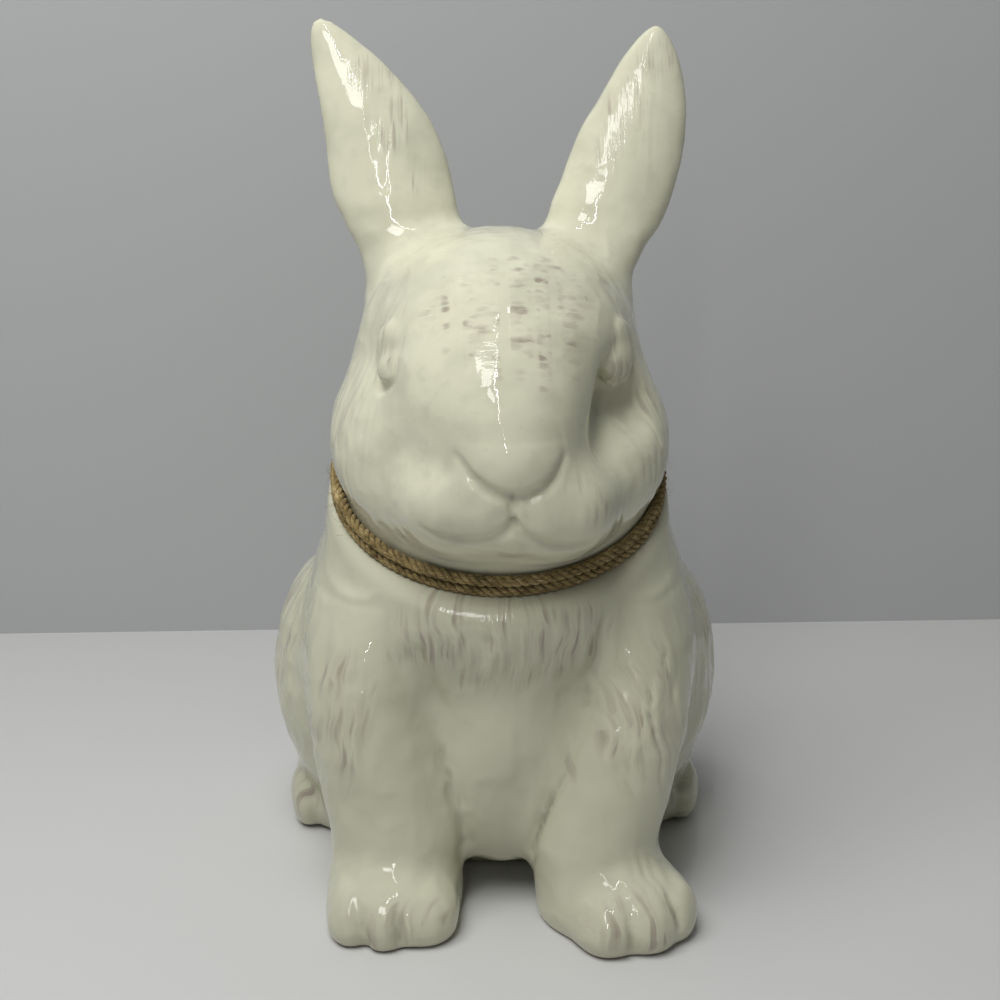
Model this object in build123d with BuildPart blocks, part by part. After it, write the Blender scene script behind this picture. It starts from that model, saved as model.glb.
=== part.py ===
from build123d import *
import os
from math import cos, hypot, pi, radians, sin, sqrt, tan

# A sitting rabbit in glazed slip-cast ceramic, with a rope tied twice round its neck.
# Millimetres. The rabbit faces -Y, +Z is up, +X is the rabbit's own left, and it stands on z = 0.
# The origin is at the middle of its footprint.

# Driving sizes
overall_height = 350.0
overall_width = 196.0
overall_depth = 202.0
wall = 5.0
overrun = 40.0

# Torso: a pear of level ovals, from the foot up to the neck
torso_height = 206.0
torso_front_reach = 66.0
haunch_proud = 10.0
tail_proud = 11.0
torso_half_width = overall_width / 2 - haunch_proud
torso_back_reach = overall_depth / 2 - tail_proud
# Each row: height, half width, front and back, as shares of the torso's sizes above
torso_shares = [
    (0.00, 0.80, 0.20, 0.84),
    (0.07, 0.90, 0.29, 0.93),
    (0.18, 0.97, 0.44, 0.99),
    (0.33, 1.00, 0.67, 1.00),
    (0.48, 0.97, 0.88, 0.96),
    (0.62, 0.89, 1.00, 0.90),
    (0.74, 0.81, 0.98, 0.83),
    (0.86, 0.77, 0.88, 0.77),
    (1.00, 0.70, 0.70, 0.72),
]
drain_hole_diameter = 24.0
drain_hole_y = 38.0

# Haunches, one egg on each side of the torso
haunch_half_thickness = 38.0
haunch_half_length = 50.0
haunch_half_height = 58.0
haunch_y = 40.0
haunch_z = 72.0

# Belly: it closes the space between the forelegs down to a low arch
belly_half_width = 31.0
belly_half_depth = 24.0
belly_half_height = 50.0
belly_forward = 37.0
belly_z = 67.0

# Neck: a round band square to a plane that dips towards the face
neck_radius = 64.6
neck_z = 168.0
neck_dip = 23.6
neck_band_reach = 14.0

# Rope, knot and the rope's two free ends
rope_diameter = 4.3
rope_seat_clearance = 0.4
rope_pitch = 5.0
rope_crossing_turn = 36.0
knot_half_width = 10.0
knot_half_depth = 6.5
knot_half_height = 9.0
knot_flat_share = 0.8
knot_standoff = 2.0
rope_tail_length = 34.0
rope_tail_spread = 6.0
rope_tail_spacing = 5.0
rope_tail_clearance = 2.0
tail_bend_share = 0.45
parallel_limit = 1e-9

# Head, in eggs that stand round a point on the neck and turn with it
head_y = -8.0
head_turn = 2.0
jaw_z = 186.3
jaw_half_width = 67.0
jaw_half_depth = 69.0
jaw_half_height = 42.0
skull_z = 219.0
skull_back = 10.0
skull_half_width = 58.0
skull_half_depth = 60.0
skull_half_height = 52.0
brow_forward = 22.0
brow_z = 233.0
brow_half_width = 42.0
brow_half_length = 37.0
brow_half_height = 27.0
brow_slope = 30.0
bridge_forward = 48.0
bridge_z = 213.5
bridge_half_width = 28.5
bridge_half_length = 37.0
bridge_half_height = 22.0
bridge_slope = 46.0
nose_forward = 63.5
nose_z = 191.6
nose_half_width = 17.2
nose_half_depth = 16.8
nose_half_height = 15.2
muzzle_forward = 52.8
muzzle_z = 173.7
muzzle_spread = 18.6
muzzle_half_width = 21.7
muzzle_half_depth = 22.7
muzzle_half_height = 18.6
muzzle_turn = 13.0
lip_spread = 9.5
lip_forward = 62.7
lip_z = 174.8
lip_half_width = 11.5
lip_half_depth = 13.3
lip_half_height = 14.2
cheek_forward = 16.0
cheek_z = 188.0
cheek_spread = 40.5
cheek_half_width = 21.5
cheek_half_length = 36.0
cheek_half_height = 26.5
cheek_turn = 20.0
cheek_slope = 10.0
# On the rabbit's right the bridge of the nose runs into the cheek, with no hollow between them
flank_spread = 28.0
flank_forward = 38.0
flank_z = 203.0
flank_half_width = 16.0
flank_half_depth = 20.0
flank_half_height = 28.0
flank_slope = 20.0
chin_forward = 42.0
chin_z = 165.0
chin_half_width = 30.0
chin_half_depth = 22.0
chin_half_height = 14.0
eye_forward = 27.8
eye_z = 222.0
eye_spread = 43.6
eye_half_thickness = 5.7
eye_half_length = 9.4
eye_half_height = 11.8
eye_turn = 34.0
eye_slope = 10.0

# Ears: a long egg on a short root
ear_half_length = 62.0
ear_half_width = 22.5
ear_half_thickness = 9.0
ear_root_y = 22.0
ear_root_z = 256.0
ear_root_lift = 12.0
ear_root_half_width = 24.0
ear_root_half_thickness = 13.0
ear_root_half_height = 40.0
ear_tip_y = 46.0
ear_turn = 8.0
# The rabbit's right ear leans out further than its left one
ear_root_places = {"left": 42.5, "right": 36.0}
ear_tip_places = {"left": 67.5, "right": 70.5}
ear_channel_half_gap = 3.5
ear_channel_half_depth = 15.0
ear_channel_half_length = 36.0
ear_channel_outward = 22.0
ear_channel_below = 14.0

# Forelegs and paws
shoulder_x = 51.0
shoulder_y = -20.0
shoulder_z = 94.0
shoulder_half_width = 28.0
shoulder_half_depth = 34.0
shoulder_half_height = 38.0
ankle_z = 30.0
ankle_half_width = 23.5
ankle_half_depth = 22.0
ankle_behind_toes = 40.0
paw_half_width = 26.5
paw_half_length = 31.0
paw_half_height = 19.0
paw_z = 8.0
# The left paw stands further forward and further out than the right one
paw_fronts = {"left": overall_depth / 2, "right": 90.5}
paw_places = {"left": 47.5, "right": 45.0}
ankle_places = {"left": 38.0, "right": 43.0}
toe_pitch = 16.5
toe_set_back = 4.0
toe_half_width = 9.8
toe_half_length = 17.0
toe_half_height = 14.0

# Hind feet
hind_foot_set_in = 27.0
hind_foot_x = overall_width / 2 - hind_foot_set_in
hind_foot_front = 14.0
hind_foot_half_width = 21.5
hind_foot_half_length = 41.0
hind_foot_half_height = 21.0
hind_foot_z = 12.0
hind_toe_pitch = 13.0
hind_toe_half_width = 8.2
hind_toe_half_length = 14.0

# Tail
tail_half_width = 20.0
tail_half_depth = 17.0
tail_half_height = 20.0
tail_z = 42.0

dip = radians(neck_dip)
neck_plane = Plane(origin=(0, 0, neck_z), x_dir=(1, 0, 0), z_dir=(0, -sin(dip), cos(dip)))
head_frame = Location((0, head_y, 0), (0, 0, head_turn))
rope_ring_radius = neck_radius + rope_seat_clearance + rope_diameter / 2
rope_seat_height = rope_pitch + rope_diameter + 2 * rope_seat_clearance
knot_radius = rope_ring_radius + rope_diameter / 2 + knot_standoff + knot_half_depth
sides = {"left": 1, "right": -1}
pieces = []


def egg(half_sizes, place, mode=Mode.ADD):
    # A unit ball drawn out to three half sizes and set in its place
    ball = scale(Sphere(1, mode=Mode.PRIVATE), by=half_sizes, mode=Mode.PRIVATE)
    return add(place * ball, mode=mode)


def finish(piece, label):
    piece.label = label
    pieces.append(piece)


def torso_oval(row, inset):
    # Height, half width, half depth and middle of one level oval, drawn in by the inset
    height, width, front, back = row
    front_y = inset - front * torso_front_reach
    back_y = back * torso_back_reach - inset
    level = inset + height * (torso_height - inset)
    return level, width * torso_half_width - inset, (back_y - front_y) / 2, (back_y + front_y) / 2


def torso_back_at(level):
    # Where the torso's back stands at a height, along straight lines between the ovals
    points = [(row[0] * torso_height, row[3] * torso_back_reach) for row in torso_shares]
    for (low, low_y), (high, high_y) in zip(points, points[1:]):
        if level <= high:
            return low_y + (high_y - low_y) * (level - low) / (high - low)
    return points[-1][1]


def fill_torso(inset):
    # The pear and its two haunches
    ovals = []
    for row in torso_shares:
        level, half_width, half_depth, middle_y = torso_oval(row, inset)
        with BuildSketch(Plane.XY.offset(level)) as oval:
            with Locations((0, middle_y)):
                Ellipse(half_width, half_depth)
        ovals.append(oval.sketch)
    loft(sections=ovals)
    haunch = (haunch_half_thickness - inset, haunch_half_length - inset, haunch_half_height - inset)
    for side in sides.values():
        haunch_x = side * (overall_width / 2 - haunch_half_thickness)
        egg(haunch, Location((haunch_x, haunch_y, haunch_z)))


def fill_head(inset):
    # The jaw, which lies along the neck plane, and the skull above it
    jaw = (jaw_half_width - inset, jaw_half_depth - inset, jaw_half_height - inset)
    skull = (skull_half_width - inset, skull_half_depth - inset, skull_half_height - inset)
    egg(jaw, head_frame * Location((0, 0, jaw_z), (neck_dip, 0, 0)))
    egg(skull, head_frame * Location((0, skull_back, skull_z)))


def end_at_neck(inset, reach, keep):
    # A round band runs to the neck plane, inside the groove that the rope's two turns lie in
    radius = neck_radius - inset
    with BuildSketch(neck_plane) as band:
        Circle(radius)
    extrude(band.sketch, amount=reach)
    with BuildSketch(neck_plane) as groove:
        Circle(radius + overrun)
        Circle(radius, mode=Mode.SUBTRACT)
    extrude(groove.sketch, amount=rope_seat_height / 2 + inset, both=True, mode=Mode.SUBTRACT)
    split(bisect_by=neck_plane, keep=keep)


# Torso: one hollow casting with a hole in its base that the slip drains through
with BuildPart() as torso_skin:
    fill_torso(0)
    egg((belly_half_width, belly_half_depth, belly_half_height), Location((0, -belly_forward, belly_z)))
    end_at_neck(0, -neck_band_reach, Keep.BOTTOM)
    split(bisect_by=Plane.XY, keep=Keep.TOP)

with BuildPart() as torso_core:
    fill_torso(wall)
    end_at_neck(wall, -neck_band_reach, Keep.BOTTOM)
    split(bisect_by=Plane.XY.offset(wall), keep=Keep.TOP)

with BuildPart() as torso:
    add(torso_skin.part)
    add(torso_core.part, mode=Mode.SUBTRACT)
    with Locations((0, drain_hole_y, 0)):
        Cylinder(drain_hole_diameter / 2, 2 * wall + overrun, mode=Mode.SUBTRACT)
finish(torso.part, "torso")

# Head: a second hollow casting, luted to the torso along the neck plane
with BuildPart() as head_skin:
    fill_head(0)
    brow = (brow_half_width, brow_half_length, brow_half_height)
    egg(brow, head_frame * Location((0, -brow_forward, brow_z), (brow_slope, 0, 0)))
    bridge = (bridge_half_width, bridge_half_length, bridge_half_height)
    egg(bridge, head_frame * Location((0, -bridge_forward, bridge_z), (bridge_slope, 0, 0)))
    nose = (nose_half_width, nose_half_depth, nose_half_height)
    egg(nose, head_frame * Location((0, -nose_forward, nose_z)))
    flank = (flank_half_width, flank_half_depth, flank_half_height)
    egg(flank, head_frame * Location((-flank_spread, -flank_forward, flank_z), (flank_slope, 0, 0)))
    chin = (chin_half_width, chin_half_depth, chin_half_height)
    egg(chin, head_frame * Location((0, -chin_forward, chin_z)))
    for side in sides.values():
        muzzle = (muzzle_half_width, muzzle_half_depth, muzzle_half_height)
        muzzle_place = (side * muzzle_spread, -muzzle_forward, muzzle_z)
        egg(muzzle, head_frame * Location(muzzle_place, (0, 0, side * muzzle_turn)))
        lip = (lip_half_width, lip_half_depth, lip_half_height)
        egg(lip, head_frame * Location((side * lip_spread, -lip_forward, lip_z)))
        cheek = (cheek_half_width, cheek_half_length, cheek_half_height)
        cheek_place = Location((side * cheek_spread, -cheek_forward, cheek_z), (0, 0, -side * cheek_turn))
        egg(cheek, head_frame * cheek_place * Location((0, 0, 0), (cheek_slope, 0, 0)))
        eye = (eye_half_thickness, eye_half_length, eye_half_height)
        eye_place = Location((side * eye_spread, -eye_forward, eye_z), (0, 0, -side * eye_turn))
        egg(eye, head_frame * eye_place * Location((0, 0, 0), (eye_slope, 0, 0)))
    end_at_neck(0, neck_band_reach, Keep.TOP)

with BuildPart() as head_core:
    fill_head(wall)
    end_at_neck(wall, neck_band_reach, Keep.TOP)

with BuildPart() as head:
    add(head_skin.part)
    add(head_core.part, mode=Mode.SUBTRACT)
finish(head.part, "head")

# Ears, each luted on the skull, with a channel down its outer edge
for name, side in sides.items():
    root_x, tip_x = side * ear_root_places[name], side * ear_tip_places[name]
    rise = Vector(tip_x - root_x, ear_tip_y - ear_root_y, overall_height - ear_root_z)
    blade = Plane(origin=(0, 0, 0), x_dir=(1, 0, 0), z_dir=rise).rotated((0, 0, -side * ear_turn))
    blade_top = hypot(
        ear_half_length * blade.z_dir.Z, ear_half_width * blade.x_dir.Z, ear_half_thickness * blade.y_dir.Z
    )
    blade.origin = (
        tip_x - ear_half_length * blade.z_dir.X,
        ear_tip_y - ear_half_length * blade.z_dir.Y,
        overall_height - blade_top,
    )
    root = Plane(origin=(root_x, ear_root_y, ear_root_z), x_dir=blade.x_dir, z_dir=blade.z_dir)
    channel = (side * ear_channel_outward, 0, -ear_channel_below)
    with BuildPart() as ear:
        egg((ear_half_width, ear_half_thickness, ear_half_length), blade.location)
        egg(
            (ear_root_half_width, ear_root_half_thickness, ear_root_half_height),
            root.location * Location((0, 0, ear_root_lift)),
        )
        egg(
            (ear_channel_half_depth, ear_channel_half_gap, ear_channel_half_length),
            blade.location * Location(channel),
            mode=Mode.SUBTRACT,
        )
        add(head_skin.part, mode=Mode.SUBTRACT)
        add(head_core.part, mode=Mode.SUBTRACT)
    finish(ear.part.solids().sort_by(Axis.Z)[-1], f"{name}_ear")

# Forelegs: a shoulder, a tapering leg and a paw with three toes
for name, side in sides.items():
    paw_front = paw_fronts[name]
    paw_x, ankle_x = side * paw_places[name], side * ankle_places[name]
    ankle_y = ankle_behind_toes - paw_front
    with BuildPart() as foreleg:
        egg(
            (shoulder_half_width, shoulder_half_depth, shoulder_half_height),
            Location((side * shoulder_x, shoulder_y, shoulder_z)),
        )
        with BuildSketch(Plane.XY.offset(paw_z)):
            with Locations((ankle_x, ankle_y)):
                Ellipse(ankle_half_width, ankle_half_depth)
        with BuildSketch(Plane.XY.offset(ankle_z)):
            with Locations((ankle_x, ankle_y)):
                Ellipse(ankle_half_width, ankle_half_depth)
        with BuildSketch(Plane.XY.offset(shoulder_z)):
            with Locations((side * shoulder_x, shoulder_y)):
                Ellipse(shoulder_half_width, shoulder_half_depth)
        loft()
        egg(
            (paw_half_width, paw_half_length, paw_half_height),
            Location((paw_x, paw_half_length + toe_set_back - paw_front, paw_z)),
        )
        for step in (-1, 0, 1):
            toe_y = toe_half_length + abs(step) * toe_set_back - paw_front
            egg(
                (toe_half_width, toe_half_length, toe_half_height),
                Location((paw_x + step * toe_pitch, toe_y, paw_z)),
            )
        split(bisect_by=Plane.XY, keep=Keep.TOP)
        add(torso_skin.part, mode=Mode.SUBTRACT)
    finish(foreleg.part.solids().sort_by(SortBy.VOLUME)[-1], f"{name}_foreleg")

# Hind feet lie along the ground under the haunches
for name, side in sides.items():
    with BuildPart() as hind_foot:
        egg(
            (hind_foot_half_width, hind_foot_half_length, hind_foot_half_height),
            Location((side * hind_foot_x, hind_foot_front + hind_foot_half_length, hind_foot_z)),
        )
        for step in (-1, 0, 1):
            toe_y = hind_foot_front + hind_toe_half_length + abs(step) * toe_set_back
            egg(
                (hind_toe_half_width, hind_toe_half_length, toe_half_height),
                Location((side * hind_foot_x + step * hind_toe_pitch, toe_y, hind_foot_z)),
            )
        split(bisect_by=Plane.XY, keep=Keep.TOP)
        add(torso_skin.part, mode=Mode.SUBTRACT)
    finish(hind_foot.part.solids().sort_by(SortBy.VOLUME)[-1], f"{name}_hind_foot")

with BuildPart() as tail:
    egg(
        (tail_half_width, tail_half_depth, tail_half_height),
        Location((0, overall_depth / 2 - tail_half_depth, tail_z)),
    )
    add(torso_skin.part, mode=Mode.SUBTRACT)
finish(tail.part.solids().sort_by(SortBy.VOLUME)[-1], "tail")


def on_neck(turn, radius, level):
    # A point round the neck, from a turn in degrees counted from the nape towards the right
    angle = radians(90 + turn)
    return neck_plane.from_local_coords(Vector(radius * cos(angle), radius * sin(angle), level))


def neck_tangent(turn):
    angle = radians(turn)
    return neck_plane.from_local_coords(Vector(-cos(angle), -sin(angle), 0)) - neck_plane.origin


def biarc(start, start_way, end, end_way):
    # Two arcs that leave one point and reach the next along the given directions
    chord = end - start
    both = start_way + end_way
    square = 2 * (1 - start_way.dot(end_way))
    along = chord.dot(both)
    if square < parallel_limit:
        reach = chord.dot(chord) / (4 * chord.dot(end_way))
    else:
        reach = (sqrt(along**2 + square * chord.dot(chord)) - along) / square
    before = start + start_way * reach
    after = end - end_way * reach
    joint = (before + after) / 2
    TangentArc(start, joint, tangent=start_way)
    TangentArc(joint, end, tangent=after - before)


# Rope: one tube from the knot, twice round the neck and back into the knot
knot_flank = knot_flat_share * knot_half_width
lead = knot_flank + rope_diameter
full_turn = 360
quarter_turn = 90
low, high = -rope_pitch / 2, rope_pitch / 2
quarters = [quarter_turn, 2 * quarter_turn, 3 * quarter_turn]
low_turns = [rope_crossing_turn, *quarters, full_turn - rope_crossing_turn]
stations = [(on_neck(turn, rope_ring_radius, low), neck_tangent(turn)) for turn in low_turns]
stations += [(on_neck(turn, rope_ring_radius, high), neck_tangent(turn)) for turn in low_turns]
knot_exits = [
    neck_plane.from_local_coords(Vector(-side * across, knot_radius, 0))
    for side, across in ((1, knot_flank), (1, lead), (-1, lead), (-1, knot_flank))
]
stations = [(knot_exits[1], neck_tangent(0)), *stations, (knot_exits[2], neck_tangent(0))]
with BuildPart() as neck_rope:
    with BuildLine() as rope_line:
        Line(knot_exits[0], knot_exits[1])
        for (start, start_way), (end, end_way) in zip(stations, stations[1:]):
            biarc(start, start_way, end, end_way)
        Line(knot_exits[2], knot_exits[3])
    with BuildSketch(Plane(origin=knot_exits[0], z_dir=neck_tangent(0))):
        Circle(rope_diameter / 2)
    sweep()
finish(neck_rope.part, "neck_rope")
rope_wire = rope_line.wire()
rope_length = rope_wire.length
samples = 600
apart = int(samples * 4 * rope_diameter / rope_length)
places = [rope_wire.position_at(step / samples) for step in range(samples + 1)]
least = min(
    (places[a] - places[b]).length for a in range(samples + 1) for b in range(a + apart, samples + 1)
)
tube_volume = pi * (rope_diameter / 2) ** 2 * rope_length
print("rope length", round(rope_length, 1), "least gap to itself", round(least - rope_diameter, 2))
print("rope volume over section times length", round(neck_rope.part.volume / tube_volume, 4))

# Knot at the nape, flat where the rope and its two ends go in
with BuildPart() as rope_knot:
    knot_middle = neck_plane.from_local_coords(Vector(0, knot_radius, 0))
    egg((knot_half_width, knot_half_depth, knot_half_height), Location(knot_middle, (neck_dip, 0, 0)))
    knot_floor = knot_flat_share * knot_half_height
    split(bisect_by=Plane.YZ.offset(-knot_flank), keep=Keep.TOP)
    split(bisect_by=Plane.YZ.offset(knot_flank), keep=Keep.BOTTOM)
    split(bisect_by=neck_plane.offset(-knot_floor), keep=Keep.TOP)
finish(rope_knot.part, "rope_knot")

# The rope's two free ends hang from the knot down the back
rope_tail_run = rope_tail_length / 2
for name, side in sides.items():
    top = neck_plane.from_local_coords(Vector(side * rope_tail_spacing / 2, knot_radius, -knot_floor))
    bend_point = top - neck_plane.z_dir * rope_tail_run
    end_level = bend_point.Z - rope_tail_run
    end_y = torso_back_at(end_level) + rope_diameter / 2 + rope_tail_clearance
    end = Vector(top.X + side * rope_tail_spread, max(end_y, bend_point.Y), end_level)
    half_turn = radians((bend_point - top).get_angle(end - bend_point)) / 2
    bend_radius = tail_bend_share * rope_tail_run / tan(half_turn)
    with BuildPart() as rope_tail:
        with BuildLine() as tail_line:
            FilletPolyline(top, bend_point, end, radius=bend_radius)
        with BuildSketch(Plane(origin=top, z_dir=-neck_plane.z_dir)):
            Circle(rope_diameter / 2)
        sweep()
    print(name, "rope tail bend radius", round(bend_radius, 1))
    finish(rope_tail.part, f"{name}_rope_tail")

os.makedirs("parts", exist_ok=True)
for piece in pieces:
    print(piece.label, piece.is_valid, len(piece.solids()), round(piece.volume))
    export_step(piece, f"parts/{piece.label}.step")
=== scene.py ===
import math

import bpy
import numpy as np
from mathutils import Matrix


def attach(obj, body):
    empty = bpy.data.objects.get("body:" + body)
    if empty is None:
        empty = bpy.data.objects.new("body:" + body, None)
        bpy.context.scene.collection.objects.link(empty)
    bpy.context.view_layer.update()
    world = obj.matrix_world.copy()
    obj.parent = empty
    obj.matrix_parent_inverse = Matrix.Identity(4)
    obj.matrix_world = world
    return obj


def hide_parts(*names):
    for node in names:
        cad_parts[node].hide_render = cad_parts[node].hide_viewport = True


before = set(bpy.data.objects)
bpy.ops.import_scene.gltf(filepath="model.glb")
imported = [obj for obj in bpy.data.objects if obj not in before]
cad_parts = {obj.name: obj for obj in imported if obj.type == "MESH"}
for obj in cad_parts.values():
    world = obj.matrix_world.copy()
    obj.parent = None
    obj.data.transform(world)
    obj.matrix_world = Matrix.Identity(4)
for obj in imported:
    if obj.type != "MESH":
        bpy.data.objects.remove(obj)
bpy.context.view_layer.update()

import openvdb
from mathutils import Euler, Vector

# A sitting rabbit in glazed ceramic with a jute rope round its neck.
# The sculpting below works in millimetres and every mesh is brought to metres as it is made.
scene = bpy.context.scene
scene.view_settings.view_transform = "Standard"
mm = 0.001


def linkTo(name, data):
    thing = bpy.data.objects.new(name, data)
    scene.collection.objects.link(thing)
    return thing


# Camera
cameraLook = {
    "place": (-0.030, -0.7014, 0.346), "heading": 2.5, "pitch": 15.0, "lens": 63.0, "sensor": 36.0,
    "nearest": 0.05, "farthest": 20.0,
}
cameraData = bpy.data.cameras.new("camera")
cameraData.lens = cameraLook["lens"]
cameraData.sensor_width = cameraLook["sensor"]
cameraData.clip_start, cameraData.clip_end = cameraLook["nearest"], cameraLook["farthest"]
camera = linkTo("camera", cameraData)
camera.location = cameraLook["place"]
camera.rotation_euler = Euler(
    (math.radians(90 - cameraLook["pitch"]), 0, math.radians(-cameraLook["heading"]))
)
scene.camera = camera
print("camera placed")

# Rope: its route repeats the source's ring, knot and tails
rope = {
    "diameter": 4.3, "ring": 67.15, "pitch": 5.0, "crossing": 36.0, "perTurn": 24, "swell": 1.006,
    "knotRadius": 77.8, "knotFlank": 8.0, "lead": 12.3, "knotFloor": 7.2,
    "tailLength": 34.0, "tailSpread": 6.0, "tailSpacing": 5.0, "tailLift": 1.5,
}
neck = {"z": 169.3, "dip": 26.3, "radius": 64.6, "band": 16}
dip = math.radians(neck["dip"])
neckUp = Vector((0, -math.sin(dip), math.cos(dip)))
neckBack = Vector((0, math.cos(dip), math.sin(dip)))
neckMiddle = Vector((0, 0, neck["z"]))


def onNeck(across, back, level):
    return neckMiddle + Vector((across, 0, 0)) + neckBack * back + neckUp * level


def roundNeck(turn, radius, level):
    angle = math.radians(90 + turn)
    return onNeck(radius * math.cos(angle), radius * math.sin(angle), level)


def ease(start, end, value):
    t = min(max((value - start) / (end - start), 0.0), 1.0)
    return t * t * (3 - 2 * t)


def ropeRoute():
    # two turns from the knot back to the knot, the second above the first
    half, crossing, step = rope["pitch"] / 2, rope["crossing"], 360 / rope["perTurn"]
    points = [onNeck(-across, rope["knotRadius"], 0) for across in (rope["knotFlank"], rope["lead"])]
    turn = step
    while turn < 720 - step / 2:
        level = half * (2 * ease(360 - crossing, 360 + crossing, turn) - 1)
        clear = ease(0, crossing, min(turn, 720 - turn))  # 0 at the knot and 1 away from it
        level *= clear
        radius = rope["ring"] * rope["swell"] + (1 - clear) * (rope["knotRadius"] - rope["ring"])
        points.append(roundNeck(turn, radius, level))
        turn += step
    points += [onNeck(across, rope["knotRadius"], 0) for across in (rope["lead"], rope["knotFlank"])]
    return points


def tailRoute(side):
    top = onNeck(side * rope["tailSpacing"] / 2, rope["knotRadius"], -rope["knotFloor"])
    run = rope["tailLength"] / 2
    bend = top - neckUp * run
    end = Vector((top.x + side * rope["tailSpread"], bend.y + rope["tailLift"], bend.z - run))
    return [top, bend.lerp(top, 0.5), bend, end]


def smoothLine(name, points):
    # a curve along the route, read off as a line in metres
    data = bpy.data.curves.new(name, "CURVE")
    data.dimensions = "3D"
    data.resolution_u = 8
    spline = data.splines.new("NURBS")
    spline.points.add(len(points) - 1)
    for place, point in zip(spline.points, points):
        place.co = (*(point * mm), 1)
    spline.order_u = 3
    spline.use_endpoint_u = True
    curve = linkTo(name, data)
    depsgraph = bpy.context.evaluated_depsgraph_get()
    mesh = bpy.data.meshes.new_from_object(curve.evaluated_get(depsgraph))
    line = [v.co.copy() for v in mesh.vertices]
    bpy.data.meshes.remove(mesh)
    bpy.data.objects.remove(curve)
    return line


knot = {"spread": 7.9, "rise": 7.2, "depth": 3.6, "points": 48, "start": 0.5}


def knotRoute():
    # a tight overhand knot, whose loops pass over and under each other
    points = []
    for i in range(knot["points"]):
        t = 2 * math.pi * i / (knot["points"] - 1) + knot["start"]
        across = knot["spread"] * (math.sin(t) + 2 * math.sin(2 * t)) / 3
        level = knot["rise"] * (math.cos(t) - 2 * math.cos(2 * t)) / 3
        points.append(onNeck(across, rope["knotRadius"] - knot["depth"] * math.sin(3 * t), level))
    return points


ringLine = smoothLine("ringRoute", ropeRoute())
tailLines = {
    "left": smoothLine("leftTailRoute", tailRoute(1)), "right": smoothLine("rightTailRoute", tailRoute(-1)),
}
knotLine = smoothLine("knotRoute", knotRoute())


# Node helpers
def newGroup(name, kind, outputs, inputs):
    # each socket has a name and a type
    group = bpy.data.node_groups.new(name, kind)
    for way, sockets in (("OUTPUT", outputs), ("INPUT", inputs)):
        for label, socketType in sockets.items():
            group.interface.new_socket(name=label, in_out=way, socket_type="NodeSocket" + socketType)
    return group, group.nodes.new("NodeGroupInput").outputs


def closeGroup(group, result):
    feed(group, group.nodes.new("NodeGroupOutput"), {0: result})
    return group


def feed(group, made, values):
    # a node stands for its first output; any value but a node or a socket is set on the input
    for key, value in values.items():
        if isinstance(value, bpy.types.Node):
            value = value.outputs[0]
        if isinstance(value, bpy.types.NodeSocket):
            group.links.new(value, made.inputs[key])
        elif value is not None:
            made.inputs[key].default_value = value


def node(group, kind, values=None, **settings):
    made = group.nodes.new(kind)
    for key, value in settings.items():
        setattr(made, key, value)
    feed(group, made, values or {})
    return made


def calc(group, operation, *values):
    return node(group, "ShaderNodeMath", dict(enumerate(values)), operation=operation)


def plus(group, a, b):
    return calc(group, "ADD", a, b)


def times(group, a, b):
    return calc(group, "MULTIPLY", a, b)


def vectorCalc(group, operation, a, b=None, scale=None):
    return node(group, "ShaderNodeVectorMath", {0: a, 1: b, "Scale": scale}, operation=operation)


def joinXYZ(group, x, y, z):
    return node(group, "ShaderNodeCombineXYZ", {0: x, 1: y, 2: z})


def keep(group, geometry, name, value):
    # stores a number on the points, for the material
    values = {"Geometry": geometry, "Name": name, "Value": value}
    return node(group, "GeometryNodeStoreNamedAttribute", values, data_type="FLOAT", domain="POINT")


def applyNodes(name, group, source, settings):
    # runs a geometry node group on a mesh and keeps only what it makes
    holder = linkTo(name + "Source", source)
    modifier = holder.modifiers.new("nodes", "NODES")
    modifier.node_group = group
    for item in group.interface.items_tree:
        if item.item_type == "SOCKET" and item.in_out == "INPUT" and item.name in settings:
            modifier[item.identifier] = settings[item.name]
    holder.update_tag()
    depsgraph = bpy.context.evaluated_depsgraph_get()
    mesh = bpy.data.meshes.new_from_object(holder.evaluated_get(depsgraph), depsgraph=depsgraph)
    mesh.name = name
    bpy.data.objects.remove(holder)
    return linkTo(name, mesh)


def lineMesh(name, line):
    mesh = bpy.data.meshes.new(name)
    mesh.from_pydata([tuple(p) for p in line], [(i, i + 1) for i in range(len(line) - 1)], [])
    return mesh


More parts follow.
